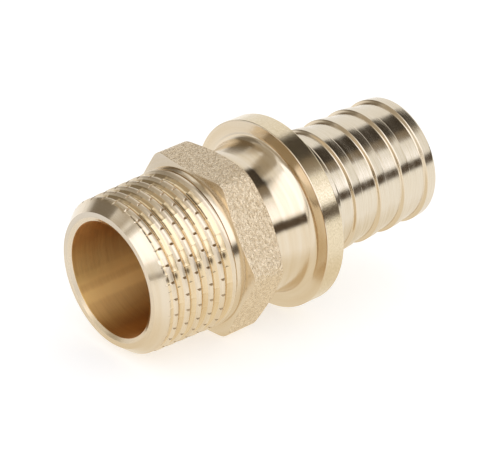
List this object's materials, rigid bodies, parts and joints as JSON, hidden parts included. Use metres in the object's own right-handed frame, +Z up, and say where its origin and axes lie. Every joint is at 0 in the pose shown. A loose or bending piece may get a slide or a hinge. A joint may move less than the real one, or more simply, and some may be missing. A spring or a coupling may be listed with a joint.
{
  "type": "axial press reducing coupling with male thread",
  "caption": "Brass transition coupling: a notched male taper thread, a wrench hexagon, a press collar and a ribbed spigot for plastic pipe, on one straight waterway.",
  "frame": {"origin": "middle of the bounding box's underside, on the surface that the coupling lies on", "axes": "+X from the thread's end face to the spigot's tip, +Z up; the coupling lies at rest on the start of its thread and the front rim of its collar, so its own axis rises 5.9 degrees towards the spigot; one hexagon flat faces up"},
  "size_m": [0.0496, 0.0254, 0.0255],
  "materials": {
    "brass": "turned and forged pale brass"
  },
  "bodies": {
    "root": {"coupling_body": "brass"}
  },
  "joints": []
}
